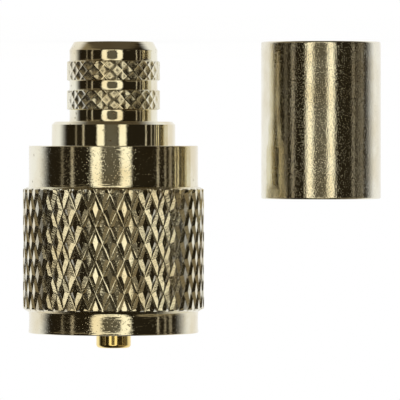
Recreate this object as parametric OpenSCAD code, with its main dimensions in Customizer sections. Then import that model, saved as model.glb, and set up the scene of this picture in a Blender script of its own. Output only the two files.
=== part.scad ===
// UHF coaxial plug for crimped cable, with its coupling nut and its crimp ferrule.
// Millimetres. The plug stands on its cable end, its axis is Z and the mating end points up.

/* [Crimp stem] */
// Outside diameter of the smooth stem
stem_d = 8.95; // [8.7:0.05:9.1]
// Outside diameter at the cable end, before the taper
stem_end_d = 8; // [7.9:0.05:8.4]
// Length of the taper at the cable end
stem_taper = 0.87; // [0.4:0.01:1.4]
// Length of the stem, from the cable end to the step
stem_len = 8.06; // [7.4:0.01:9]
// Bore for the cable's dielectric
bore_d = 7.4; // [7:0.05:7.5]
// Distance the dielectric bore runs past the step
bore_past_step = 0.94; // [0.4:0.01:1.2]

/* [Stem knurl] */
// Diameter over the knurled bands
band_d = 9.4; // [9.3:0.02:9.6]
// Width of one knurled band
band_w = 2.02; // [1.6:0.01:2.2]
// Distance from the cable end to the first band
band_start = 1.93; // [1.5:0.01:2.1]
// Smooth land between the two bands
band_land = 0.91; // [0.5:0.01:1.1]
// Pits around one band
band_cells = 25; // [20:1:28]

/* [Plug body] */
// Diameter of the step, and of the neck that carries the coupling nut
neck_d = 12.5; // [12.3:0.05:12.8]
// Length of the step that shows behind the coupling nut
step_len = 2.42; // [2:0.01:3]
// Depth of the neck's groove for the retaining ring
neck_groove_depth = 0.55; // [0.45:0.01:0.6]
// Diameter of the flange that the coupling nut pulls on
flange_d = 14.2; // [13.8:0.05:14.4]
// Thickness of the flange
flange_t = 1.7; // [1.4:0.05:2]
// Diameter of the front boss
boss_d = 11.9; // [11.6:0.05:12.1]
// Length of the front boss
boss_len = 1.87; // [1.5:0.01:2.4]
// Width of each of the two locating lugs
lug_w = 1.8; // [1.2:0.05:2.4]
// Height of the locating lugs over the flange
lug_h = 0.9; // [0.6:0.05:1.2]

/* [Coupling nut] */
// Length of the coupling nut
nut_len = 18.89; // [18.2:0.01:19.6]
// Diameter of the smooth collars
nut_d = 17.2; // [17.1:0.05:17.5]
// Diameter over the knurl
knurl_d = 18.3; // [18.1:0.05:18.6]
// Distance from the rear face to the knurl
knurl_start = 4.37; // [3.9:0.01:4.6]
// Length of the knurl with its end chamfers
knurl_len = 12.3; // [11.8:0.01:13]
// Rear chamfer of the knurl
knurl_rear_chamfer = 0.36; // [0.25:0.01:0.5]
// Front chamfer of the knurl
knurl_front_chamfer = 0.38; // [0.3:0.01:0.6]
// Diamonds around the nut
knurl_cells = 40; // [36:1:44]
// Share of a diamond that is its flat top
knurl_top = 0.33; // [0.25:0.01:0.5]
// Depth of the knurl's grooves
knurl_depth = 0.29; // [0.2:0.01:0.4]
// Turn of the knurl's first row of diamonds about the axis
knurl_turn = 5.8; // [0:0.1:9]
// Thickness of the rear web
web_len = 3.5; // [3.2:0.05:3.9]
// Depth of the web's groove for the retaining ring
web_groove_depth = 0.97; // [0.8:0.01:1.1]
// Distance from the rear face to that groove
web_groove_inset = 1.15; // [0.9:0.01:1.4]
// Bore of the nut before its thread is cut
thread_minor_d = 14.84; // [14.75:0.01:14.95]
// Outside diameter of the thread that it takes
thread_major_d = 15.88; // [15.7:0.01:15.9]
// Length of the threaded stretch with its lead-in
thread_len = 10.4; // [9:0.1:11]
// Forward travel of the nut on the body
nut_float = 1.4; // [1:0.05:1.5]

/* [Retaining ring] */
// Thickness of the split ring
ring_t = 0.8; // [0.7:0.01:0.9]
// Opening of the split
ring_split = 1.6; // [1:0.05:3]

/* [Insulators] */
// Diameter of both insulators
insulator_d = 9.8; // [9.4:0.05:9.9]
// Thickness of the rear insulator
rear_insulator_t = 1.8; // [1.5:0.05:2]
// Length of the front insulator
front_insulator_len = 4.4; // [4.2:0.05:4.7]
// Depth of the front insulator under the boss face
insulator_recess = 0.4; // [0.2:0.05:0.6]

/* [Centre contact] */
// Diameter of the pin
pin_d = 3.96; // [3.9:0.01:4]
// Length of the pin past the front insulator
pin_len = 12.3; // [11.8:0.05:12.6]
// Diameter of the pin's nose
nose_d = 3.5; // [3.3:0.05:3.6]
// Length of the nose
nose_len = 1.9; // [1.6:0.05:2.2]
// Diameter of the shank inside the front insulator
shank_d = 4.4; // [4.2:0.05:4.6]
// Diameter of the collar between the insulators
collar_d = 5.8; // [5.4:0.05:6.2]
// Thickness of that collar
collar_t = 0.8; // [0.6:0.05:1]
// Outside diameter of the conductor cup
cup_d = 4.2; // [4:0.05:4.4]
// Bore of the conductor cup
cup_bore_d = 2.9; // [2.6:0.05:3]
// Depth of the conductor cup
cup_depth = 4; // [3.5:0.05:4.2]

/* [Crimp ferrule] */
// Outside diameter of the ferrule
ferrule_d = 12.1; // [11.8:0.05:12.4]
// Wall of the ferrule
ferrule_wall = 0.5; // [0.4:0.02:0.7]
// Length of the ferrule
ferrule_len = 15.85; // [15:0.05:17]
// Clear space between the ferrule and the coupling nut
ferrule_gap = 5.75; // [4:0.05:8]

/* [Hidden] */
round_fn = 96;

// Clearances
run_gap = 0.08;
axial_gap = 0.05;
stop_gap = 0.15;
ring_rim_gap = 0.1;
ring_floor_gap = 0.2;
insulator_gap = 0.02;
cup_end_gap = 0.3;
relief_gap = 0.06;
flange_gap = 0.4;

// Small edges
edge = 0.2;
step_chamfer = 0.3;
stem_fillet = 0.25;
ferrule_edge = 0.15;
ferrule_mouth = 0.1;
cup_mouth = 0.2;
nose_round = 0.35;
nose_cone = 0.4;
band_chamfer = 0.13;

// Knurls: the root of each sleeve is sunk into the wall
knurl_sink = 0.3;
knurl_row = 1.65;
cell_points = 5;
root_points = 3;
band_row = 0.585;
band_pit = 0.12;
band_lift = 0.03;

// Levels along the axis
step_z = stem_len;
nut_z = step_z + step_len;
bore_len = step_z + bore_past_step;
web_z = nut_z + web_len;
web_groove_z = nut_z + web_groove_inset;
ring_z = web_groove_z + axial_gap;
neck_groove_z = ring_z - axial_gap;
neck_groove_end = ring_z + ring_t + nut_float + stop_gap;
flange_z = web_z + nut_float + axial_gap;
flange_end = flange_z + flange_t;
boss_end = flange_end + boss_len;
insulator_end = boss_end - insulator_recess;
collar_z = insulator_end - front_insulator_len;
insulator_seat = collar_z - rear_insulator_t;
cup_z = bore_len + cup_end_gap;
pin_end = insulator_end + pin_len;
nut_end = nut_z + nut_len;
thread_z = nut_end - thread_len;

// Radii that follow the fits
neck_r = neck_d / 2;
neck_groove_r = neck_r - neck_groove_depth;
web_r = neck_r + run_gap;
web_groove_r = web_r + web_groove_depth;
ring_out_r = web_groove_r - ring_rim_gap;
ring_in_r = neck_groove_r + ring_floor_gap;
relief_r = max(thread_major_d / 2 + relief_gap, flange_d / 2 + flange_gap);
insulator_seat_r = insulator_d / 2 + insulator_gap;
chamber_r = cup_d / 2 + 0.9;
ferrule_x = -(knurl_d / 2 + ferrule_gap + ferrule_d / 2);

plug_body();
rear_insulator();
front_insulator();
centre_contact();
retaining_ring();
coupling_nut();
crimp_ferrule();

// A solid of revolution from its half section, as [radius, height] points.
module turned(section) {
    rotate_extrude($fn = round_fn) polygon(section);
}

// Points of an arc in a half section.
function arc(centre, r, from, to, steps = 6) =
    [for (i = [0:steps]) centre + r * [cos(from + (to - from) * i / steps),
                                       sin(from + (to - from) * i / steps)]];

function on_ring(r, angle, z) = [r * cos(angle), r * sin(angle), z];

// One level of a diamond knurl: for each cell its left crossing and the four corners of its middle lozenge.
function knurl_level(k, cells, row, z, line_r, cell_r, share) =
    let (w = 360 / cells, first = (k % 2) * w / 2)
    [for (i = [0:cells - 1]) let (a = first + i * w)
        each [on_ring(line_r, a - w / 2, z),
              on_ring(cell_r, a - share * w / 2, z),
              on_ring(cell_r, a + share * w / 2, z),
              on_ring(cell_r, a, z + share * row),
              on_ring(cell_r, a, z - share * row)]];

// The sunk ring that closes one end of a knurl.
function knurl_root(k, cells, z, r, share) =
    let (w = 360 / cells, first = (k % 2) * w / 2)
    [for (i = [0:cells - 1]) let (a = first + i * w)
        each [on_ring(r, a - w / 2, z), on_ring(r, a - share * w / 2, z), on_ring(r, a + share * w / 2, z)]];

// Two triangles for four points that run anticlockwise as seen from outside.
function quad(a, b, c, d) = [[a, c, b], [a, d, c]];

// A closed sleeve with a diamond pattern cut through a whole number of rows.
// line_r is the radius of the crossing lines and cell_r that of the lozenge in each cell:
// lines below cells give raised diamonds, and lines above cells give pits.
module knurl_sleeve(cells, rows, z, row, line_r, cell_r, share, root_r, low, high) {
    levels = [for (k = [0:rows]) each knurl_level(k, cells, row, z + k * row, line_r, cell_r, share)];
    low_root = knurl_root(0, cells, z - low, root_r, share);
    high_root = knurl_root(rows, cells, z + rows * row + high, root_r, share);
    low_at = (rows + 1) * cells * cell_points;
    high_at = low_at + cells * root_points;
    upper = [for (k = [0:rows - 1]) for (i = [0:cells - 1])
        let (at = (k * cells + i) * cell_points,
             right = (k * cells + (i + 1) % cells) * cell_points,
             up = ((k + 1) * cells + (i + k % 2) % cells) * cell_points)
        each concat([[at + 1, at + 3, at + 2]],
                    quad(at, at + 1, at + 3, up),
                    quad(at + 2, right, up, at + 3))];
    lower = [for (k = [1:rows]) for (i = [0:cells - 1])
        let (at = (k * cells + i) * cell_points,
             right = (k * cells + (i + 1) % cells) * cell_points,
             down = ((k - 1) * cells + (i + k % 2) % cells) * cell_points)
        each concat([[at + 1, at + 2, at + 4]],
                    quad(at, down, at + 4, at + 1),
                    quad(at + 4, down, right, at + 2))];
    ends = [for (i = [0:cells - 1]) for (s = [0:root_points - 1])
        let (here = i * root_points + s,
             next = (here + 1) % (cells * root_points),
             first = rows * cells * cell_points,
             p = i * cell_points + s,
             q = s < root_points - 1 ? p + 1 : ((i + 1) % cells) * cell_points,
             b = low_at + here,
             c = low_at + next,
             t = high_at + here,
             u = high_at + next)
        each concat(quad(b, c, q, p), quad(first + p, first + q, u, t), quad(b, t, u, c))];
    polyhedron(points = concat(levels, low_root, high_root),
               faces = concat(upper, lower, ends),
               convexity = 6);
}

// Raised diamond knurl of the coupling nut.
module nut_knurl() {
    crest = knurl_d / 2;
    collar = nut_d / 2;
    root = collar - knurl_sink;
    rise = crest - collar;
    low = knurl_rear_chamfer * (crest - root) / rise;
    high = knurl_front_chamfer * (crest - root) / rise;
    span = knurl_len - knurl_rear_chamfer - knurl_front_chamfer;
    rows = round(span / knurl_row);
    rotate([0, 0, knurl_turn])
        knurl_sleeve(knurl_cells, rows, nut_z + knurl_start + knurl_rear_chamfer, span / rows,
                     crest - knurl_depth, crest, knurl_top, root, low, high);
}

// Pitted knurl band of the crimp stem, which bites into the cable's braid.
module stem_band(z) {
    crest = band_d / 2;
    land = stem_d / 2;
    root = land - 2 * band_lift;
    high = band_chamfer * (crest - root) / (crest - land);
    span = band_w - 2 * band_chamfer;
    rows = round(span / band_row);
    knurl_sleeve(band_cells, rows, z + band_chamfer, span / rows,
                 crest, land + band_lift, band_pit, root, high, high);
}

module plug_body() color([0.80, 0.78, 0.70]) {
    stem_r = stem_d / 2;
    flange_r = flange_d / 2;
    boss_r = boss_d / 2;
    union() {
        turned(concat(
            [[bore_d / 2, 0], [stem_end_d / 2, 0], [stem_r, stem_taper]],
            arc([stem_r + stem_fillet, step_z - stem_fillet], stem_fillet, 180, 90, 4),
            [[neck_r - step_chamfer, step_z], [neck_r, step_z + step_chamfer],
             [neck_r, neck_groove_z], [neck_groove_r, neck_groove_z],
             [neck_groove_r, neck_groove_end], [neck_r, neck_groove_end],
             [neck_r, flange_z], [flange_r - edge, flange_z], [flange_r, flange_z + edge],
             [flange_r, flange_end - edge], [flange_r - edge, flange_end],
             [boss_r, flange_end], [boss_r, boss_end - edge], [boss_r - edge, boss_end],
             [insulator_seat_r, boss_end], [insulator_seat_r, insulator_seat],
             [chamber_r, insulator_seat], [chamber_r, bore_len], [bore_d / 2, bore_len]]));
        stem_band(band_start);
        stem_band(band_start + band_w + band_land);
        locating_lugs();
    }
}

// Two lugs on the flange, which drop into the notches of the socket's rim.
module locating_lugs() {
    sink = 0.3;
    in_r = boss_d / 2 - sink;
    out_r = flange_d / 2 - edge;
    intersection() {
        translate([0, 0, flange_end - sink])
            rotate_extrude($fn = round_fn)
                translate([in_r, 0]) square([out_r - in_r, lug_h + sink]);
        translate([-out_r, -lug_w / 2, flange_end - sink]) cube([2 * out_r, lug_w, lug_h + sink]);
    }
}

module rear_insulator() color([0.93, 0.92, 0.88]) {
    out_r = insulator_d / 2;
    in_r = cup_d / 2 + insulator_gap;
    turned([[in_r, insulator_seat], [out_r, insulator_seat],
            [out_r, collar_z], [in_r, collar_z]]);
}

module front_insulator() color([0.95, 0.94, 0.90]) {
    out_r = insulator_d / 2;
    collar_r = collar_d / 2 + insulator_gap;
    shank_r = shank_d / 2 + insulator_gap;
    turned([[collar_r, collar_z], [out_r, collar_z],
            [out_r, insulator_end - edge], [out_r - edge, insulator_end],
            [shank_r, insulator_end], [shank_r, collar_z + collar_t],
            [collar_r, collar_z + collar_t]]);
}

module centre_contact() color([0.85, 0.68, 0.30]) {
    cup_r = cup_d / 2;
    bore_r = cup_bore_d / 2;
    pin_r = pin_d / 2;
    nose_r = nose_d / 2;
    nose_z = pin_end - nose_len;
    point = cup_bore_d / 4;
    turned(concat(
        [[0, cup_z + cup_depth + point], [bore_r, cup_z + cup_depth],
         [bore_r, cup_z + cup_mouth], [bore_r + cup_mouth, cup_z], [cup_r, cup_z],
         [cup_r, collar_z], [collar_d / 2, collar_z], [collar_d / 2, collar_z + collar_t],
         [shank_d / 2, collar_z + collar_t], [shank_d / 2, insulator_end],
         [pin_r, insulator_end], [pin_r, nose_z - nose_cone], [nose_r, nose_z]],
        arc([nose_r - nose_round, pin_end - nose_round], nose_round, 0, 90),
        [[0, pin_end]]));
}

module retaining_ring() color([0.72, 0.56, 0.30]) {
    difference() {
        turned([[ring_in_r, ring_z], [ring_out_r, ring_z],
                [ring_out_r, ring_z + ring_t], [ring_in_r, ring_z + ring_t]]);
        translate([-ring_split / 2, 0, ring_z - ring_t])
            cube([ring_split, 2 * ring_out_r, 3 * ring_t]);
    }
}

module coupling_nut() color([0.82, 0.80, 0.72]) {
    out_r = nut_d / 2;
    minor_r = thread_minor_d / 2;
    mouth_r = thread_major_d / 2 + relief_gap;
    lead = mouth_r - minor_r;
    slot_end = web_groove_z + ring_t + 2 * axial_gap;
    union() {
        turned([[web_r + edge, nut_z], [out_r - edge, nut_z], [out_r, nut_z + edge],
                [out_r, nut_end - edge], [out_r - edge, nut_end],
                [mouth_r, nut_end], [minor_r, nut_end - lead],
                [minor_r, thread_z + lead], [relief_r, thread_z],
                [relief_r, web_z], [web_r, web_z],
                [web_r, slot_end], [web_groove_r, slot_end],
                [web_groove_r, web_groove_z], [web_r, web_groove_z],
                [web_r, nut_z + edge]]);
        nut_knurl();
    }
}

module crimp_ferrule() color([0.84, 0.83, 0.78]) {
    out_r = ferrule_d / 2;
    in_r = out_r - ferrule_wall;
    mid = out_r - ferrule_edge;
    translate([ferrule_x, 0, 0])
        turned(concat(
            [[in_r + ferrule_mouth, 0]],
            arc([mid, ferrule_edge], ferrule_edge, -90, 0, 4),
            arc([mid, ferrule_len - ferrule_edge], ferrule_edge, 0, 90, 4),
            [[in_r + ferrule_mouth, ferrule_len], [in_r, ferrule_len - ferrule_mouth],
             [in_r, ferrule_mouth]]));
}
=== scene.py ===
import math
import random

import bmesh
import bpy
from mathutils import Matrix, Vector


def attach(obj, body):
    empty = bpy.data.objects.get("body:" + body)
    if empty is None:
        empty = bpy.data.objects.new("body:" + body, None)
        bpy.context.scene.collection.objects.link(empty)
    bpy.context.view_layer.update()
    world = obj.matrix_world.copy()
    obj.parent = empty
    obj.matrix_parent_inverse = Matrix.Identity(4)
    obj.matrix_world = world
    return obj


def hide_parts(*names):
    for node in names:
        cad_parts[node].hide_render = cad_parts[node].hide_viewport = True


# UHF crimp plug and its ferrule, standing on a pale floor.
# Pieces are modelled in millimetres and scaled to metres at the end.

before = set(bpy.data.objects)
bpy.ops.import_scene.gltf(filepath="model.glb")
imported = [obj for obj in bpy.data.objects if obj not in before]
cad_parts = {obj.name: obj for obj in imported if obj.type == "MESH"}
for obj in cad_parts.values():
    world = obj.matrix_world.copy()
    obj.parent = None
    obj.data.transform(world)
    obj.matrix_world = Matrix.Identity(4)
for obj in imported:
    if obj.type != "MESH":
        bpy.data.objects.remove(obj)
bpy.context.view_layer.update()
print("frame loaded:", sorted(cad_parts))

mm = 0.001
fullTurn = 2 * math.pi
scene = bpy.context.scene
scene.view_settings.view_transform = "Standard"


# Camera: level with the nut's rear face, far away, and turned upside down like the photograph
cameraValues = {
    "lens": 450.0,
    "distance": 505.0,
    "height": 9.4,
    "aimX": -8.735,
    "aimZ": 15.97,
    "roll": 180.0,
}


def addCamera(v):
    data = bpy.data.cameras.new("camera")
    data.lens = v["lens"]
    data.clip_start = 0.01
    data.clip_end = 20.0
    cam = bpy.data.objects.new("camera", data)
    scene.collection.objects.link(cam)
    cam.location = Vector((v["aimX"], -v["distance"], v["height"])) * mm
    aim = Vector((v["aimX"], 0.0, v["aimZ"])) * mm
    look = (aim - cam.location).to_track_quat("-Z", "Y")
    cam.rotation_mode = "QUATERNION"
    cam.rotation_quaternion = look @ Matrix.Rotation(math.radians(v["roll"]), 3, "Z").to_quaternion()
    scene.camera = cam


addCamera(cameraValues)
print("camera placed")


# Node helpers
def addNode(tree, kind, **values):
    node = tree.nodes.new(kind)
    for name, value in values.items():
        setattr(node, name, value)
    return node


def mathNode(tree, operation, a, b=None, clamp=False):
    node = addNode(tree, "ShaderNodeMath", operation=operation, use_clamp=clamp)
    for socket, value in zip(node.inputs, (a, b)):
        if value is None:
            continue
        if isinstance(value, (int, float)):
            socket.default_value = value
        else:
            tree.links.new(value, socket)
    return node.outputs[0]


def mapRange(tree, value, low, high, toLow=0.0, toHigh=1.0, smooth=True):
    node = addNode(tree, "ShaderNodeMapRange", clamp=True)
    node.interpolation_type = "SMOOTHSTEP" if smooth else "LINEAR"
    tree.links.new(value, node.inputs["Value"])
    for name, number in (("From Min", low), ("From Max", high), ("To Min", toLow), ("To Max", toHigh)):
        node.inputs[name].default_value = number
    return node.outputs["Result"]


def mixColor(tree, factor, a, b, blend="MIX"):
    node = addNode(tree, "ShaderNodeMix", data_type="RGBA", blend_type=blend)
    for socket, value in ((node.inputs[0], factor), (node.inputs[6], a), (node.inputs[7], b)):
        if isinstance(value, (int, float)):
            socket.default_value = value
        elif isinstance(value, tuple):
            socket.default_value = (*value, 1.0)
        else:
            tree.links.new(value, socket)
    return node.outputs[2]


# Studio: white behind the object, a dark room in front with a warm ring light round the camera, a few thin
# strip lights and two dim walls. Angles are degrees; a turn is measured from the side that the photograph
# looks from and is positive on the photograph's right.
studio = {
    "white": (1.0, 1.0, 1.0),
    "room": (0.019, 0.0145, 0.008),
    "ringColor": (1.26, 1.16, 0.88),
    "ringFrom": 13.8,
    "ringTo": 27.3,
    "ringTurn": -2.5,
    "ringSoft": 2.5,
    "ringTall": 0.87,
    "lensColor": (0.13, 0.115, 0.08),
    "lens": 12.0,
    "wallColor": (0.27, 0.222, 0.135),
    "tableColor": (0.096, 0.075, 0.045),
    "walls": [{"side": 1.0, "up": 1.0}, {"side": -1.0, "up": -1.0}],
    "stripColor": (1.30, 1.15, 0.85),
    "strips": [(-57.0, 1.5, 0.5), (-73.0, 1.0, 0.28), (64.0, 1.0, 0.55), (76.0, 1.2, 0.28), (85.0, 2.5, 0.22)],
    "stripHeight": 20.0,
    "backLeft": (95.0, 123.0),
    "backRight": (92.0, 126.0),
    "backRise": (40.0, 68.0),
    "skyColor": (6.0, 5.8, 5.4),
    "skyRise": (66.0, 74.0),
}


def anglesFromCamera(tree, direction, ringTurn, ringTall):
    parts = addNode(tree, "ShaderNodeSeparateXYZ")
    tree.links.new(direction, parts.inputs[0])
    x, y, z = parts.outputs
    away = mathNode(tree, "MULTIPLY", y, -1.0)
    squash = addNode(tree, "ShaderNodeVectorMath", operation="MULTIPLY")
    tree.links.new(direction, squash.inputs[0])
    squash.inputs[1].default_value = (1.0, 1.0, ringTall)
    unit = addNode(tree, "ShaderNodeVectorMath", operation="NORMALIZE")
    tree.links.new(squash.outputs[0], unit.inputs[0])
    toRing = addNode(tree, "ShaderNodeVectorMath", operation="DOT_PRODUCT")
    tree.links.new(unit.outputs[0], toRing.inputs[0])
    toRing.inputs[1].default_value = (-math.sin(math.radians(ringTurn)), -math.cos(math.radians(ringTurn)), 0.0)
    cone = mathNode(tree, "MULTIPLY", mathNode(tree, "ARCCOSINE", toRing.outputs["Value"]), 180 / math.pi)
    # positive on the photograph's right, which is -X
    turn = mathNode(tree, "MULTIPLY", mathNode(tree, "ARCTAN2", mathNode(tree, "MULTIPLY", x, -1.0), away),
                    180 / math.pi)
    rise = mathNode(tree, "MULTIPLY", mathNode(tree, "ARCSINE", z), 180 / math.pi)
    return cone, turn, rise


def band(tree, value, centre, half, soft):
    offset = mathNode(tree, "ABSOLUTE", mathNode(tree, "SUBTRACT", value, centre))
    return mapRange(tree, offset, half - soft / 2, half + soft / 2, 1.0, 0.0)


def buildWorld(v):
    world = bpy.data.worlds.new("studio")
    world.use_nodes = True
    scene.world = world
    tree = world.node_tree
    tree.nodes.clear()
    place = addNode(tree, "ShaderNodeTexCoord")
    cone, turn, rise = anglesFromCamera(tree, place.outputs["Generated"], v["ringTurn"], v["ringTall"])
    color = mixColor(tree, mapRange(tree, cone, v["lens"] - 4, v["lens"] + 4, 1.0, 0.0), v["room"], v["lensColor"])
    for wall in v["walls"]:
        across = mapRange(tree, mathNode(tree, "MULTIPLY", turn, wall["side"]), 31.0, 40.0)
        upward = band(tree, mathNode(tree, "MULTIPLY", rise, wall["up"]), 30.0, 15.0, 10.0)
        color = mixColor(tree, mathNode(tree, "MULTIPLY", across, upward), color, v["wallColor"])
    color = mixColor(tree, mapRange(tree, rise, -50.0, -40.0, 1.0, 0.0), color, v["tableColor"])
    ringMiddle = (v["ringFrom"] + v["ringTo"]) / 2
    ring = band(tree, cone, ringMiddle, (v["ringTo"] - v["ringFrom"]) / 2, v["ringSoft"])
    color = mixColor(tree, ring, color, v["ringColor"])
    size = mathNode(tree, "ABSOLUTE", rise)
    low = mapRange(tree, size, v["stripHeight"] - 8, v["stripHeight"], 1.0, 0.0)
    for centre, half, strength in v["strips"]:
        strip = mathNode(tree, "MULTIPLY", band(tree, turn, centre, half, 1.2), strength)
        color = mixColor(tree, mathNode(tree, "MULTIPLY", strip, low), color, v["stripColor"])
    left = mapRange(tree, mathNode(tree, "MULTIPLY", turn, -1.0), *v["backLeft"])
    right = mapRange(tree, turn, *v["backRight"])
    level = mapRange(tree, size, *v["backRise"], 1.0, 0.0)
    back = mathNode(tree, "MULTIPLY", mathNode(tree, "MAXIMUM", left, right), level)
    color = mixColor(tree, back, color, v["white"])
    # a soft light overhead reaches the white plastic deep in the nut, but isn't mirrored by the metal
    path = addNode(tree, "ShaderNodeLightPath")
    above = mathNode(tree, "MULTIPLY", mapRange(tree, rise, *v["skyRise"]), path.outputs["Is Diffuse Ray"])
    color = mixColor(tree, above, color, v["skyColor"])
    seen = mixColor(tree, path.outputs["Is Camera Ray"], color, v["white"])
    shader = addNode(tree, "ShaderNodeBackground")
    out = addNode(tree, "ShaderNodeOutputWorld")
    tree.links.new(seen, shader.inputs["Color"])
    tree.links.new(shader.outputs[0], out.inputs["Surface"])


floorValues = {"radius": 110.0, "color": (0.92, 0.92, 0.91), "glow": 0.97}


def addFloor(v):
    bm = bmesh.new()
    bmesh.ops.create_circle(bm, cap_ends=True, radius=v["radius"] * mm, segments=128)
    mesh = bpy.data.meshes.new("floor")
    bm.to_mesh(mesh)
    bm.free()
    floor = bpy.data.objects.new("floor", mesh)
    scene.collection.objects.link(floor)
    material = bpy.data.materials.new("paleFloor")
    material.use_nodes = True
    tree = material.node_tree
    tree.nodes.clear()
    paint = addNode(tree, "ShaderNodeBsdfDiffuse")
    paint.inputs["Color"].default_value = (*v["color"], 1.0)
    glow = addNode(tree, "ShaderNodeEmission")
    glow.inputs["Color"].default_value = (1.0, 1.0, 1.0, 1.0)
    path = addNode(tree, "ShaderNodeLightPath")
    blend = addNode(tree, "ShaderNodeMixShader")
    tree.links.new(mathNode(tree, "MULTIPLY", path.outputs["Is Camera Ray"], v["glow"]), blend.inputs[0])
    tree.links.new(paint.outputs[0], blend.inputs[1])
    tree.links.new(glow.outputs[0], blend.inputs[2])
    # the photograph's metal shows no floor, so mirror rays pass through to the studio
    clear = addNode(tree, "ShaderNodeBsdfTransparent")
    pick = addNode(tree, "ShaderNodeMixShader")
    tree.links.new(path.outputs["Is Glossy Ray"], pick.inputs[0])
    tree.links.new(blend.outputs[0], pick.inputs[1])
    tree.links.new(clear.outputs[0], pick.inputs[2])
    out = addNode(tree, "ShaderNodeOutputMaterial")
    tree.links.new(pick.outputs[0], out.inputs["Surface"])
    mesh.materials.append(material)


buildWorld(studio)
addFloor(floorValues)
print("studio built")


# Shared effects. Each group gives only masks and heights that change over the surface.
def newGroup(name, inputs, outputs):
    group = bpy.data.node_groups.new(name, "ShaderNodeTree")
    for label, kind, value in inputs:
        socket = group.interface.new_socket(name=label, in_out="INPUT", socket_type=kind)
        if value is not None:
            socket.default_value = value
    for label, kind in outputs:
        group.interface.new_socket(name=label, in_out="OUTPUT", socket_type=kind)
    start = addNode(group, "NodeGroupInput")
    end = addNode(group, "NodeGroupOutput")
    return group, start, end


def buildTarnish():
    # small dark specks and faint clouds on plated metal
    group, start, end = newGroup(
        "tarnish",
        [("Vector", "NodeSocketVector", None), ("Speck Size", "NodeSocketFloat", 900.0),
         ("Speck Limit", "NodeSocketFloat", 0.66), ("Cloud Size", "NodeSocketFloat", 220.0)],
        [("Specks", "NodeSocketFloat"), ("Clouds", "NodeSocketFloat")])
    speck = addNode(group, "ShaderNodeTexNoise")
    speck.inputs["Detail"].default_value = 3.0
    speck.inputs["Roughness"].default_value = 0.6
    group.links.new(start.outputs["Vector"], speck.inputs["Vector"])
    group.links.new(start.outputs["Speck Size"], speck.inputs["Scale"])
    over = mathNode(group, "SUBTRACT", speck.outputs["Fac"], start.outputs["Speck Limit"])
    group.links.new(mathNode(group, "MULTIPLY", over, 14.0, clamp=True), end.inputs["Specks"])
    cloud = addNode(group, "ShaderNodeTexNoise")
    cloud.inputs["Detail"].default_value = 4.0
    group.links.new(start.outputs["Vector"], cloud.inputs["Vector"])
    group.links.new(start.outputs["Cloud Size"], cloud.inputs["Scale"])
    group.links.new(mapRange(group, cloud.outputs["Fac"], 0.35, 0.7), end.inputs["Clouds"])
    return group


def buildToolMarks():
    # fine rings left by the lathe, broken up along their length: they follow the height on walls and the
    # radius on flat faces
    group, start, end = newGroup(
        "toolMarks",
        [("Vector", "NodeSocketVector", None), ("Density", "NodeSocketFloat", 9000.0),
         ("Break", "NodeSocketFloat", 0.12)],
        [("Height", "NodeSocketFloat")])
    parts = addNode(group, "ShaderNodeSeparateXYZ")
    group.links.new(start.outputs["Vector"], parts.inputs[0])
    flat = addNode(group, "ShaderNodeCombineXYZ")
    group.links.new(parts.outputs[0], flat.inputs[0])
    group.links.new(parts.outputs[1], flat.inputs[1])
    radius = addNode(group, "ShaderNodeVectorMath", operation="LENGTH")
    group.links.new(flat.outputs[0], radius.inputs[0])
    slow = addNode(group, "ShaderNodeVectorMath", operation="SCALE")
    group.links.new(flat.outputs[0], slow.inputs[0])
    group.links.new(start.outputs["Break"], slow.inputs["Scale"])
    upright = addNode(group, "ShaderNodeCombineXYZ")
    group.links.new(mathNode(group, "ADD", radius.outputs["Value"], parts.outputs[2]), upright.inputs[2])
    along = addNode(group, "ShaderNodeVectorMath", operation="ADD")
    group.links.new(slow.outputs[0], along.inputs[0])
    group.links.new(upright.outputs[0], along.inputs[1])
    lines = addNode(group, "ShaderNodeTexNoise")
    lines.inputs["Detail"].default_value = 2.0
    group.links.new(along.outputs[0], lines.inputs["Vector"])
    group.links.new(start.outputs["Density"], lines.inputs["Scale"])
    group.links.new(lines.outputs["Fac"], end.inputs["Height"])
    return group


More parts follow.
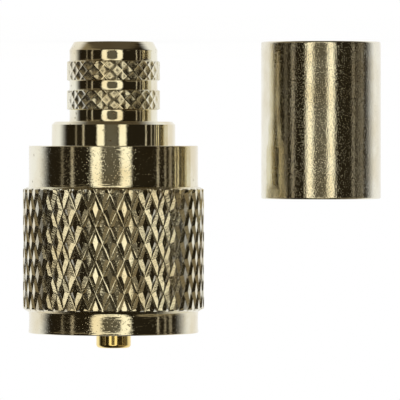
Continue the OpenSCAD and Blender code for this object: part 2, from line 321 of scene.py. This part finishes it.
def buildCutFaces():
    # the sloping faces of the knurl, found from how far they lean from straight outward, and their feed marks
    group, start, end = newGroup(
        "cutFaces",
        [("Vector", "NodeSocketVector", None), ("Normal", "NodeSocketVector", None),
         ("Inside", "NodeSocketFloat", 0.0086), ("Outside", "NodeSocketFloat", 0.0093),
         ("Lean", "NodeSocketFloat", 0.97), ("Density", "NodeSocketFloat", 9000.0)],
        [("Mask", "NodeSocketFloat"), ("Height", "NodeSocketFloat")])
    flat = addNode(group, "ShaderNodeVectorMath", operation="MULTIPLY")
    group.links.new(start.outputs["Vector"], flat.inputs[0])
    flat.inputs[1].default_value = (1.0, 1.0, 0.0)
    radius = addNode(group, "ShaderNodeVectorMath", operation="LENGTH")
    group.links.new(flat.outputs[0], radius.inputs[0])
    outward = addNode(group, "ShaderNodeVectorMath", operation="NORMALIZE")
    group.links.new(flat.outputs[0], outward.inputs[0])
    lean = addNode(group, "ShaderNodeVectorMath", operation="DOT_PRODUCT")
    group.links.new(outward.outputs[0], lean.inputs[0])
    group.links.new(start.outputs["Normal"], lean.inputs[1])
    past = mathNode(group, "SUBTRACT", lean.outputs["Value"], start.outputs["Lean"])
    sloped = mapRange(group, past, -0.07, 0.0, 1.0, 0.0)
    over = mathNode(group, "GREATER_THAN", radius.outputs["Value"], start.outputs["Inside"])
    under = mathNode(group, "LESS_THAN", radius.outputs["Value"], start.outputs["Outside"])
    between = mathNode(group, "MULTIPLY", over, under)
    group.links.new(mathNode(group, "MULTIPLY", sloped, between), end.inputs["Mask"])
    parts = addNode(group, "ShaderNodeSeparateXYZ")
    group.links.new(start.outputs["Vector"], parts.inputs[0])
    lines = addNode(group, "ShaderNodeTexNoise", noise_dimensions="1D")
    lines.inputs["Detail"].default_value = 1.0
    group.links.new(parts.outputs[2], lines.inputs["W"])
    group.links.new(start.outputs["Density"], lines.inputs["Scale"])
    group.links.new(lines.outputs["Fac"], end.inputs["Height"])
    return group


def buildPits():
    # shallow pits and bruises from tumbling
    group, start, end = newGroup(
        "pits",
        [("Vector", "NodeSocketVector", None), ("Size", "NodeSocketFloat", 1500.0)],
        [("Height", "NodeSocketFloat"), ("Mask", "NodeSocketFloat")])
    cells = addNode(group, "ShaderNodeTexVoronoi", feature="F1")
    cells.inputs["Randomness"].default_value = 1.0
    group.links.new(start.outputs["Vector"], cells.inputs["Vector"])
    group.links.new(start.outputs["Size"], cells.inputs["Scale"])
    pit = mapRange(group, cells.outputs["Distance"], 0.05, 0.32)
    group.links.new(pit, end.inputs["Height"])
    group.links.new(mathNode(group, "SUBTRACT", 1.0, pit), end.inputs["Mask"])
    return group


tarnish = buildTarnish()
toolMarks = buildToolMarks()
pits = buildPits()
cutFaces = buildCutFaces()

metalValues = {
    "nutNickel": {
        "color": (0.82, 0.79, 0.65), "tint": (0.72, 0.64, 0.46), "speck": (0.20, 0.14, 0.06),
        "speckSize": 1600.0, "speckLimit": 0.68, "cloudSize": 240.0,
        "roughness": 0.055, "roughMore": 0.04, "lines": 7500.0, "lineDepth": 0.017, "pitSize": 4600.0,
        "pitDepth": 0.005, "centre": (0.0, 0.0, 0.0),
        "cutRough": 0.11, "cutInside": 8.62, "cutOutside": 9.3, "cutLean": 0.97, "cutLines": 9000.0,
        "cutDepth": 0.003,
    },
    "bodyNickel": {
        "color": (0.82, 0.79, 0.65), "tint": (0.74, 0.66, 0.48), "speck": (0.22, 0.16, 0.08),
        "speckSize": 1500.0, "speckLimit": 0.66, "cloudSize": 260.0,
        "roughness": 0.05, "roughMore": 0.05, "lines": 6000.0, "lineDepth": 0.007, "pitSize": 2800.0,
        "pitDepth": 0.0015, "centre": (0.0, 0.0, 0.0),
        "cutRough": 0.18, "cutInside": 4.5, "cutOutside": 4.692, "cutLean": 1.08, "cutLines": 15000.0,
        "cutDepth": 0.0024,
    },
    "ferruleNickel": {
        "color": (0.82, 0.79, 0.67), "tint": (0.74, 0.68, 0.53), "speck": (0.24, 0.19, 0.11),
        "speckSize": 3000.0, "speckLimit": 0.70, "cloudSize": 300.0,
        "roughness": 0.06, "roughMore": 0.02, "lines": 6000.0, "lineBreak": 1.0, "lineDepth": 0.013,
        "pitSize": 7500.0, "pitDepth": 0.009, "centre": (-20.95, 0.0, 0.0),
    },
    "contactGold": {
        "color": (0.95, 0.76, 0.32), "tint": (0.88, 0.66, 0.24), "speck": (0.55, 0.36, 0.12),
        "speckSize": 1200.0, "speckLimit": 0.70, "cloudSize": 260.0,
        "roughness": 0.12, "roughMore": 0.08, "lines": 8000.0, "lineDepth": 0.003, "pitSize": 2400.0,
        "pitDepth": 0.0008, "centre": (0.0, 0.0, 0.0),
    },
    "springBronze": {
        "color": (0.72, 0.50, 0.30), "tint": (0.62, 0.42, 0.24), "speck": (0.30, 0.20, 0.12),
        "speckSize": 1200.0, "speckLimit": 0.66, "cloudSize": 260.0,
        "roughness": 0.25, "roughMore": 0.12, "lines": 9000.0, "lineDepth": 0.002, "pitSize": 2400.0,
        "pitDepth": 0.001, "centre": (0.0, 0.0, 0.0),
    },
}


def placeGroup(tree, group, vector, **values):
    node = addNode(tree, "ShaderNodeGroup")
    node.node_tree = group
    tree.links.new(vector, node.inputs["Vector"])
    for name, value in values.items():
        node.inputs[name].default_value = value
    return node


def addBump(tree, height, depth, normal=None):
    # depth is the full height of the relief in millimetres
    node = addNode(tree, "ShaderNodeBump")
    node.inputs["Strength"].default_value = 1.0
    node.inputs["Distance"].default_value = depth * mm
    tree.links.new(height, node.inputs["Height"])
    if normal is not None:
        tree.links.new(normal, node.inputs["Normal"])
    return node.outputs["Normal"]


def platedMetal(name):
    v = metalValues[name]
    material = bpy.data.materials.new(name)
    material.use_nodes = True
    tree = material.node_tree
    shader = tree.nodes["Principled BSDF"]
    shader.inputs["Metallic"].default_value = 1.0
    place = addNode(tree, "ShaderNodeTexCoord")
    centre = addNode(tree, "ShaderNodeMapping")
    centre.inputs["Location"].default_value = [-c * mm for c in v["centre"]]
    tree.links.new(place.outputs["Object"], centre.inputs["Vector"])
    vector = centre.outputs["Vector"]
    worn = placeGroup(tree, tarnish, vector, **{
        "Speck Size": v["speckSize"], "Speck Limit": v["speckLimit"], "Cloud Size": v["cloudSize"]})
    marks = placeGroup(tree, toolMarks, vector, Density=v["lines"], Break=v.get("lineBreak", 0.12))
    dents = placeGroup(tree, pits, vector, Size=v["pitSize"])
    clouded = mixColor(tree, worn.outputs["Clouds"], v["color"], v["tint"])
    tree.links.new(mixColor(tree, worn.outputs["Specks"], clouded, v["speck"]), shader.inputs["Base Color"])
    dull = mathNode(tree, "MULTIPLY", worn.outputs["Clouds"], v["roughMore"])
    spots = mathNode(tree, "MULTIPLY", worn.outputs["Specks"], 0.25)
    rough = mathNode(tree, "ADD", mathNode(tree, "ADD", dull, v["roughness"]), spots)
    normal = addBump(tree, marks.outputs["Height"], v["lineDepth"])
    normal = addBump(tree, dents.outputs["Height"], v["pitDepth"], normal)
    if "cutRough" in v:
        face = addNode(tree, "ShaderNodeNewGeometry")
        cut = placeGroup(tree, cutFaces, vector, Inside=v["cutInside"] * mm, Outside=v["cutOutside"] * mm,
                         Lean=v["cutLean"], Density=v["cutLines"])
        tree.links.new(face.outputs["True Normal"], cut.inputs["Normal"])
        rough = mathNode(tree, "ADD", rough, mathNode(tree, "MULTIPLY", cut.outputs["Mask"], v["cutRough"]))
        normal = addBump(tree, cut.outputs["Height"], v["cutDepth"], normal)
    tree.links.new(rough, shader.inputs["Roughness"])
    tree.links.new(normal, shader.inputs["Normal"])
    return material


insulatorValues = {"color": (0.88, 0.87, 0.83), "shade": (0.80, 0.78, 0.72), "roughness": 0.42, "lines": 7000.0,
                   "lineDepth": 0.005}


def whiteInsulator(v):
    material = bpy.data.materials.new("whiteInsulator")
    material.use_nodes = True
    tree = material.node_tree
    shader = tree.nodes["Principled BSDF"]
    shader.inputs["Subsurface Weight"].default_value = 0.15
    shader.inputs["Subsurface Radius"].default_value = (0.001, 0.001, 0.0009)
    place = addNode(tree, "ShaderNodeTexCoord")
    marks = placeGroup(tree, toolMarks, place.outputs["Object"], Density=v["lines"])
    worn = placeGroup(tree, tarnish, place.outputs["Object"], **{"Cloud Size": 500.0})
    tree.links.new(mixColor(tree, worn.outputs["Clouds"], v["color"], v["shade"]), shader.inputs["Base Color"])
    rough = mathNode(tree, "ADD", mathNode(tree, "MULTIPLY", marks.outputs["Height"], 0.15), v["roughness"])
    tree.links.new(rough, shader.inputs["Roughness"])
    tree.links.new(addBump(tree, marks.outputs["Height"], v["lineDepth"]), shader.inputs["Normal"])
    return material


materials = {name: platedMetal(name) for name in metalValues}
materials["whiteInsulator"] = whiteInsulator(insulatorValues)
print("materials built:", len(materials))


# Mesh helpers, all in millimetres
def spinProfile(points, steps, closed=True):
    bm = bmesh.new()
    verts = [bm.verts.new((r, 0.0, z)) for r, z in points]
    pairs = list(zip(verts, verts[1:])) + ([(verts[-1], verts[0])] if closed else [])
    edges = [bm.edges.new(pair) for pair in pairs]
    bmesh.ops.spin(bm, geom=verts + edges, cent=(0, 0, 0), axis=(0, 0, 1), dvec=(0, 0, 0),
                   angle=fullTurn, steps=steps, space=Matrix.Identity(4), use_merge=True,
                   use_normal_flip=False, use_duplicate=False)
    bmesh.ops.remove_doubles(bm, verts=bm.verts, dist=1e-5)
    bmesh.ops.recalc_face_normals(bm, faces=bm.faces)
    return bm


def ringEdges(bm, limit=20.0):
    # level edges where two turned surfaces meet at an angle
    found = []
    for edge in bm.edges:
        if len(edge.link_faces) != 2 or abs(edge.verts[0].co.z - edge.verts[1].co.z) > 1e-5:
            continue
        if edge.calc_face_angle(0.0) > math.radians(limit):
            found.append(edge)
    return found


def breakEdges(bm, edges, offset, segments=3):
    bmesh.ops.bevel(bm, geom=edges, offset=offset, offset_type="OFFSET", segments=segments, profile=0.5,
                    affect="EDGES", clamp_overlap=True, material=-1)


def hollowLand(radius, depth, low, high, power, steps=16):
    # a turned land, ground slightly hollow so that its ends rise a little
    points = []
    for k in range(steps + 1):
        t = 2 * k / steps - 1
        points.append((radius - depth * (1 - t ** power), (low + high + t * (high - low)) / 2))
    return points


def joinInto(bm, other):
    mesh = bpy.data.meshes.new("part")
    other.to_mesh(mesh)
    other.free()
    bm.from_mesh(mesh)
    bpy.data.meshes.remove(mesh)


def finishPiece(name, bm, body, material, nodes, smoothAngle=35.0):
    bmesh.ops.scale(bm, vec=(mm, mm, mm), verts=bm.verts)
    mesh = bpy.data.meshes.new(name)
    bm.to_mesh(mesh)
    bm.free()
    mesh.shade_smooth()
    mesh.set_sharp_from_angle(angle=math.radians(smoothAngle))
    mesh.materials.append(materials[material])
    piece = bpy.data.objects.new(name, mesh)
    scene.collection.objects.link(piece)
    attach(piece, body)
    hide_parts(*nodes)
    print("piece", name, "faces", len(mesh.polygons))
    return piece


# A sheet of diamonds laid flat: u runs round the part and v along it, in millimetres.
# Its grid is turned 45 degrees, each cell gets a smaller lozenge, and the lozenges are then raised or sunk.
def diamondSheet(v):
    width, row, cells = v["width"], v["row"], v["cells"]
    reach = cells // 2 * 2 + 9
    bm = bmesh.new()
    bmesh.ops.create_grid(bm, x_segments=reach, y_segments=reach, size=reach / 2)
    bmesh.ops.rotate(bm, verts=bm.verts, cent=(0, 0, 0), matrix=Matrix.Rotation(math.pi / 4, 3, "Z"))
    half = math.sqrt(2)
    bmesh.ops.scale(bm, vec=(width / half, 2 * row / half, 1.0), verts=bm.verts)
    far = [f for f in bm.faces
           if abs(f.calc_center_median().x) > width * (cells / 2 + 1)
           or abs(f.calc_center_median().y - v["middle"]) > v["height"] / 2 + 1.5 * row]
    bmesh.ops.delete(bm, geom=far, context="FACES")
    return bm


def insetCells(bm, thickness):
    faces = list(bm.faces)
    bmesh.ops.inset_individual(bm, faces=faces, thickness=thickness, depth=0.0,
                               use_even_offset=True, use_interpolate=False, use_relative_offset=False)
    return faces


def cutSheet(bm, v, slices):
    # trims the sheet to one full turn and to its two ends, with extra cuts where the end chamfers run
    edge = v["width"] * v["cells"] / 2
    low, high = v["middle"] - v["height"] / 2, v["middle"] + v["height"] / 2
    for at, normal in ((edge, (1, 0, 0)), (-edge, (-1, 0, 0))):
        bmesh.ops.bisect_plane(bm, geom=bm.verts[:] + bm.edges[:] + bm.faces[:], dist=1e-5,
                               plane_co=(at, 0, 0), plane_no=normal, clear_outer=True)
    for at, normal in ((high, (0, 1, 0)), (low, (0, -1, 0))):
        bmesh.ops.bisect_plane(bm, geom=bm.verts[:] + bm.edges[:] + bm.faces[:], dist=1e-5,
                               plane_co=(0, at, 0), plane_no=normal, clear_outer=True)
    for at in slices:
        bmesh.ops.bisect_plane(bm, geom=bm.verts[:] + bm.edges[:] + bm.faces[:], dist=1e-5,
                               plane_co=(0, at, 0), plane_no=(0, 1, 0))


def wrapSheet(bm, v, limitRadius, rootRadius):
    # bends the flat sheet round the axis, then closes its ends into a sleeve sunk into the wall
    turnRadius = v["width"] * v["cells"] / fullTurn
    low, high = v["middle"] - v["height"] / 2, v["middle"] + v["height"] / 2
    for vert in bm.verts:
        u, along, rise = vert.co
        radius = min(v["base"] + rise, limitRadius(along))
        turn = -math.pi / 2 - (u / turnRadius + math.radians(v["phase"]))
        vert.co = (radius * math.cos(turn), radius * math.sin(turn), along + v["level"])
    bmesh.ops.remove_doubles(bm, verts=bm.verts, dist=1e-4)
    rings = []
    for at, inward in ((low, 0.3), (high, -0.3)):
        rim = [e for e in bm.edges if e.is_boundary
               and all(abs(p.co.z - v["level"] - at) < 1e-3 for p in e.verts)]
        made = bmesh.ops.extrude_edge_only(bm, edges=rim)["geom"]
        for vert in (g for g in made if isinstance(g, bmesh.types.BMVert)):
            flat = Vector((vert.co.x, vert.co.y, 0.0)).normalized() * rootRadius
            vert.co = (flat.x, flat.y, vert.co.z + inward)
        rings.append([g for g in made if isinstance(g, bmesh.types.BMEdge) and g.is_boundary])
    bmesh.ops.bridge_loops(bm, edges=rings[0] + rings[1])
    bmesh.ops.recalc_face_normals(bm, faces=bm.faces)


# Coupling nut: one turned piece with a raised diamond knurl and an inside thread
nut = {
    "rear": 10.48, "length": 18.89, "radius": 8.6, "webBore": 6.33, "web": 3.5,
    "grooveFrom": 1.15, "grooveLength": 0.9, "groove": 7.3,
    "relief": 8.0, "threadFrom": 8.49, "threadMajor": 7.96, "threadMinor": 7.42, "pitch": 25.4 / 24,
    "edge": 0.12, "rearHollow": 0.05, "frontHollow": 0.06, "steps": 192,
}
nutKnurl = {
    "cells": 40, "width": fullTurn * 9.15 / 40, "row": 1.651, "base": 8.908, "crest": 9.15, "top": 0.33,
    "from": 14.62, "to": 27.22, "rearChamfer": 0.27, "frontChamfer": 0.34, "level": 20.245, "phase": -1.3,
    "shift": -0.16, "narrow": 0.95, "long": 1.25, "grooveRound": 0.07, "topRound": 0.05, "root": 8.3, "uneven": 0.012, "seed": 7,
}


def makeNutKnurl(v, collar):
    v = dict(v)
    low, high = v["from"] - v["level"], v["to"] - v["level"]
    v["middle"], v["height"] = (low + high) / 2, high - low
    crest = v["crest"]
    rise = crest - v["base"]
    bm = diamondSheet(v)
    side = math.hypot(v["width"] / 2, v["row"])
    inner = v["width"] / 2 * v["row"] / side
    tops = insetCells(bm, inner * (1 - v["top"]))
    chance = random.Random(v["seed"])
    for face in tops:
        middle = face.calc_center_median()
        lift = rise - abs(chance.gauss(0.0, v["uneven"]))
        for vert in face.verts:
            vert.co = (middle.x + (vert.co.x - middle.x) * v["narrow"],
                       middle.y + (vert.co.y - middle.y) * v["long"] + v["shift"], lift)
    bm.edges.ensure_lookup_table()
    rims = [e for e in bm.edges if min(p.co.z for p in e.verts) > rise / 2]
    breakEdges(bm, rims, v["topRound"], 2)
    grooves = [e for e in bm.edges if max(p.co.z for p in e.verts) < 1e-6 and not e.is_boundary]
    breakEdges(bm, grooves, v["grooveRound"], 2)
    slices = [low + v["rearChamfer"] * k / 3 for k in (1, 2, 3)]
    slices += [high - v["frontChamfer"] * k / 4 for k in (1, 2, 3, 4)]
    cutSheet(bm, v, slices)
    drop = crest - collar

    def limitRadius(along):
        rear = collar + 0.01 + drop * (along - low) / v["rearChamfer"]
        front = collar + 0.01 + drop * (high - along) / v["frontChamfer"]
        return min(rear, front, crest)

    wrapSheet(bm, v, limitRadius, v["root"])
    return bm


def makeNutThread(v):
    # one helical ridge on the bore, sunk a little into it and cut back by the lead-in chamfer
    front = v["rear"] + v["length"]
    start = v["rear"] + v["threadFrom"]
    turns = (front - start) / v["pitch"] - 0.35
    perTurn = 96
    steps = int(turns * perTurn)
    sunk = v["threadMajor"] + 0.05
    root, crest = v["pitch"] * 7 / 16, v["pitch"] / 8
    bm = bmesh.new()
    verts = [bm.verts.new((r, 0.0, start + 0.5 * v["pitch"] + h)) for r, h in
             ((sunk, -root), (v["threadMinor"], -crest), (v["threadMinor"], crest), (sunk, root))]
    edges = [bm.edges.new((verts[k], verts[(k + 1) % 4])) for k in range(4)]
    made = bmesh.ops.spin(bm, geom=verts + edges, cent=(0, 0, 0), axis=(0, 0, 1),
                          dvec=(0, 0, v["pitch"] / perTurn), angle=fullTurn * steps / perTurn, steps=steps,
                          space=Matrix.Identity(4), use_merge=False, use_normal_flip=False,
                          use_duplicate=False)
    last = [g for g in made["geom_last"] if isinstance(g, bmesh.types.BMEdge)]
    bmesh.ops.edgeloop_fill(bm, edges=edges)
    bmesh.ops.edgeloop_fill(bm, edges=last)
    mouth = v["relief"] - v["threadMinor"]
    for vert in bm.verts:
        radius = math.hypot(vert.co.x, vert.co.y)
        chamfer = v["threadMinor"] + max(0.0, vert.co.z - (front - mouth))
        runout = v["threadMinor"] + max(0.0, start + mouth - vert.co.z)
        wanted = min(max(radius, chamfer, runout), sunk)
        vert.co.x *= wanted / radius
        vert.co.y *= wanted / radius
        vert.co.z = min(vert.co.z, front - 0.02)
    bmesh.ops.recalc_face_normals(bm, faces=bm.faces)
    return bm


def makeNut(v, knurl):
    rear, front = v["rear"], v["rear"] + v["length"]
    web = rear + v["web"]
    grooveLow = rear + v["grooveFrom"]
    grooveHigh = grooveLow + v["grooveLength"]
    under = v["radius"] - 0.1
    lip = v["relief"] - v["threadMajor"]
    # the rear collar rises only towards the knurl, the front one at both ends
    end = knurl["from"] + 0.02
    rearCollar = hollowLand(v["radius"], v["rearHollow"], 2 * rear - end, end, 14, 80)[40:]
    frontCollar = hollowLand(v["radius"], v["frontHollow"], knurl["to"] - 0.02, front - v["edge"] - 0.02, 4)
    bm = spinProfile([
        (v["webBore"], rear), *rearCollar,
        (under, knurl["from"] + 0.12), (under, knurl["to"] - 0.12), *frontCollar,
        (v["radius"], front), (v["relief"] + 0.12, front), (v["threadMajor"], front - 0.12 - lip),
        (v["threadMajor"], rear + v["threadFrom"] + lip), (v["relief"], rear + v["threadFrom"]),
        (v["relief"], web), (v["webBore"], web), (v["webBore"], grooveHigh), (v["groove"], grooveHigh),
        (v["groove"], grooveLow), (v["webBore"], grooveLow)], v["steps"])
    outer = [e for e in ringEdges(bm) if abs(e.verts[0].co.z - rear) < 1e-4 or abs(e.verts[0].co.z - front) < 1e-4]
    breakEdges(bm, outer, v["edge"], 8)
    joinInto(bm, makeNutKnurl(knurl, v["radius"]))
    joinInto(bm, makeNutThread(v))
    return finishPiece("coupling_nut_turned", bm, "nut", "nutNickel", ["coupling_nut"], 14.0)


makeNut(nut, nutKnurl)


# Plug body: crimp stem with two pitted knurl bands, step, neck, flange and boss with its lugs
body = {
    "stem": 4.475, "stemEnd": 4.0, "taper": 0.87, "stemLength": 8.06, "bore": 3.7, "boreLength": 9.0,
    "lands": ((0.87, 1.93), (3.95, 4.86), (6.88, 8.0)), "hollow": 0.03,
    "fillet": 0.2, "neck": 6.25, "stepEdge": 0.3,
    "grooveLow": 11.63, "grooveHigh": 14.03, "groove": 5.7,
    "flangeLow": 15.43, "flangeHigh": 17.13, "flange": 7.1, "boss": 5.95, "bossEnd": 19.0,
    "seat": 4.92, "seatLow": 12.4, "chamber": 3.0,
    "lugWidth": 1.8, "lugHeight": 0.9, "edge": 0.08, "steps": 160,
}
stemBand = {
    "cells": 25, "width": fullTurn * 4.7 / 25, "row": 0.585, "base": 4.7, "land": 4.475,
    "bands": ((1.93, 4.1), (4.86, -6.0)), "length": 2.02, "crestWidth": 0.07,
    "hollows": ((0.45, 0.07), (0.45, 0.10)),
    "chamfer": 0.10, "root": 4.3,
}


def makeStemBand(v, start, phase):
    v = dict(v)
    v["phase"] = phase
    v["height"] = v["length"]
    v["middle"] = 0.0
    v["level"] = start + v["length"] / 2
    bm = diamondSheet(v)
    side = math.hypot(v["width"] / 2, v["row"])
    inner = v["width"] / 2 * v["row"] / side
    floors = insetCells(bm, v["crestWidth"] / 2)
    for share, depth in v["hollows"]:
        bmesh.ops.inset_individual(bm, faces=floors, thickness=(inner - v["crestWidth"] / 2) * share, depth=0.0,
                                   use_even_offset=True)
        for face in floors:
            for vert in face.verts:
                vert.co.z = -depth
    low, high = -v["length"] / 2, v["length"] / 2
    slices = [low + v["chamfer"], high - v["chamfer"]]
    cutSheet(bm, v, slices)
    drop = v["base"] - v["land"]

    def limitRadius(along):
        near = min(along - low, high - along)
        return min(v["base"], v["land"] + 0.005 + drop * near / v["chamfer"])

    wrapSheet(bm, v, limitRadius, v["root"])
    return bm


def makeBody(v, bands):
    step = v["stemLength"]
    lands = []
    for low, high in v["lands"]:
        lands += hollowLand(v["stem"], v["hollow"], low, high, 4)
    bm = spinProfile([
        (v["bore"], 0.0), (v["stemEnd"], 0.0), *lands, (v["stem"], step),
        (v["neck"], step), (v["neck"], v["grooveLow"]), (v["groove"], v["grooveLow"]),
        (v["groove"], v["grooveHigh"]), (v["neck"], v["grooveHigh"]), (v["neck"], v["flangeLow"]),
        (v["flange"], v["flangeLow"]), (v["flange"], v["flangeHigh"]), (v["boss"], v["flangeHigh"]),
        (v["boss"], v["bossEnd"]), (v["seat"], v["bossEnd"]), (v["seat"], v["seatLow"]),
        (v["chamber"], v["seatLow"]), (v["chamber"], v["boreLength"]), (v["bore"], v["boreLength"])],
        v["steps"])
    edges = ringEdges(bm)
    stepRim = [e for e in edges if abs(e.verts[0].co.z - step) < 1e-4 and e.verts[0].co.xy.length > v["neck"] - 0.01]
    stepRoot = [e for e in edges if abs(e.verts[0].co.z - step) < 1e-4 and e not in stepRim]
    taperEnd = [e for e in edges if abs(e.verts[0].co.z - v["taper"]) < 1e-4]
    breakEdges(bm, stepRim, v["stepEdge"], 1)
    breakEdges(bm, [e for e in stepRoot if e.is_valid], v["fillet"], 8)
    small = [e for e in ringEdges(bm) if e.verts[0].co.z < 0.01 or e.verts[0].co.z > v["flangeLow"] - 0.01]
    breakEdges(bm, small, v["edge"], 8)
    breakEdges(bm, [e for e in taperEnd if e.is_valid], v["edge"], 3)
    for start, phase in bands["bands"]:
        joinInto(bm, makeStemBand(bands, start, phase))
    for turn in (0.0, math.pi):
        joinInto(bm, makeLug(v, turn))
    return finishPiece("plug_body_turned", bm, "plug", "bodyNickel", ["plug_body"], 14.0)


def makeLug(v, turn):
    sunk = 0.25
    inner, outer = v["boss"] - sunk, v["flange"] - v["edge"]
    angle = v["lugWidth"] / ((inner + outer) / 2)
    bm = bmesh.new()
    verts = [bm.verts.new((r, 0.0, v["flangeHigh"] + h)) for r, h in
             ((inner, -sunk), (outer, -sunk), (outer, v["lugHeight"]), (inner, v["lugHeight"]))]
    face = bm.faces.new(verts)
    made = bmesh.ops.spin(bm, geom=[face], cent=(0, 0, 0), axis=(0, 0, 1), dvec=(0, 0, 0), angle=angle,
                          steps=6, space=Matrix.Identity(4), use_merge=False, use_normal_flip=False,
                          use_duplicate=False)
    bmesh.ops.recalc_face_normals(bm, faces=bm.faces)
    rims = [e for e in bm.edges if e.calc_face_angle(0.0) > math.radians(40)
            and min(p.co.z for p in e.verts) > v["flangeHigh"] - sunk + 0.01]
    breakEdges(bm, rims, v["edge"], 7)
    bmesh.ops.rotate(bm, verts=bm.verts, cent=(0, 0, 0), matrix=Matrix.Rotation(turn - angle / 2, 3, "Z"))
    return bm


makeBody(body, stemBand)


# Centre contact: solder cup, collar, shank and pin with its turned-down nose
contact = {
    "cupLow": 9.3, "cupDepth": 4.0, "cupBore": 1.45, "cup": 2.1, "collarLow": 14.2, "collarHigh": 15.0,
    "collar": 2.9, "shank": 2.2, "shankEnd": 18.6, "pin": 1.98, "nose": 1.75, "noseFrom": 29.0,
    "noseCone": 0.4, "end": 30.9, "noseRound": 0.35, "edge": 0.05, "steps": 96,
}


def makeContact(v):
    bottom = v["cupLow"] + v["cupDepth"]
    bm = spinProfile([
        (0.0, bottom + v["cupBore"] / 2), (v["cupBore"], bottom), (v["cupBore"], v["cupLow"]),
        (v["cup"], v["cupLow"]), (v["cup"], v["collarLow"]), (v["collar"], v["collarLow"]),
        (v["collar"], v["collarHigh"]), (v["shank"], v["collarHigh"]), (v["shank"], v["shankEnd"]),
        (v["pin"], v["shankEnd"]), (v["pin"], v["noseFrom"] - v["noseCone"]), (v["nose"], v["noseFrom"]),
        (v["nose"], v["end"]), (0.0, v["end"])], v["steps"], closed=False)
    tip = [e for e in ringEdges(bm) if abs(e.verts[0].co.z - v["end"]) < 1e-4]
    breakEdges(bm, tip, v["noseRound"], 6)
    small = [e for e in ringEdges(bm, 8.0) if v["shankEnd"] - 0.01 < e.verts[0].co.z < v["end"] - v["noseRound"] - 0.05]
    breakEdges(bm, small, v["edge"], 3)
    return finishPiece("centre_contact_turned", bm, "plug", "contactGold", ["centre_contact"])


makeContact(contact)


# Front insulator: a turned ring that fills the boss
insulator = {"low": 14.2, "high": 18.6, "outer": 4.9, "shank": 2.22, "collar": 2.92, "collarHigh": 15.0,
             "edge": 0.15, "steps": 128}


def makeInsulator(v):
    bm = spinProfile([
        (v["collar"], v["low"]), (v["outer"], v["low"]), (v["outer"], v["high"]), (v["shank"], v["high"]),
        (v["shank"], v["collarHigh"]), (v["collar"], v["collarHigh"])], v["steps"])
    rims = [e for e in ringEdges(bm) if e.verts[0].co.z > v["high"] - 0.01]
    breakEdges(bm, rims, v["edge"], 3)
    return finishPiece("front_insulator_turned", bm, "plug", "whiteInsulator", ["front_insulator"])


makeInsulator(insulator)


# Crimp ferrule: a plain tube with edges rounded by tumbling
ferrule = {"centre": -20.95, "outer": 6.05, "wall": 0.5, "length": 15.85, "edge": 0.17,
           "guard": 0.25, "steps": 160}


def makeFerrule(v):
    # the extra rings by the rounded ends keep the shading of the walls straight
    inner, outer = v["outer"] - v["wall"], v["outer"]
    low, high = v["guard"], v["length"] - v["guard"]
    bm = spinProfile([(inner, 0.0), (outer, 0.0), (outer, low), (outer, high), (outer, v["length"]),
                      (inner, v["length"]), (inner, high), (inner, low)], v["steps"])
    breakEdges(bm, ringEdges(bm), v["edge"], 4)
    bmesh.ops.translate(bm, vec=(v["centre"], 0.0, 0.0), verts=bm.verts)
    return finishPiece("crimp_ferrule_tube", bm, "plug", "ferruleNickel", ["crimp_ferrule"])


makeFerrule(ferrule)


# Pieces kept from the frame get their finish
for nodeName, materialName in (("rear_insulator", "whiteInsulator"), ("retaining_ring", "springBronze")):
    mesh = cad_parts[nodeName].data
    mesh.materials.clear()
    mesh.materials.append(materials[materialName])
print("pieces done")
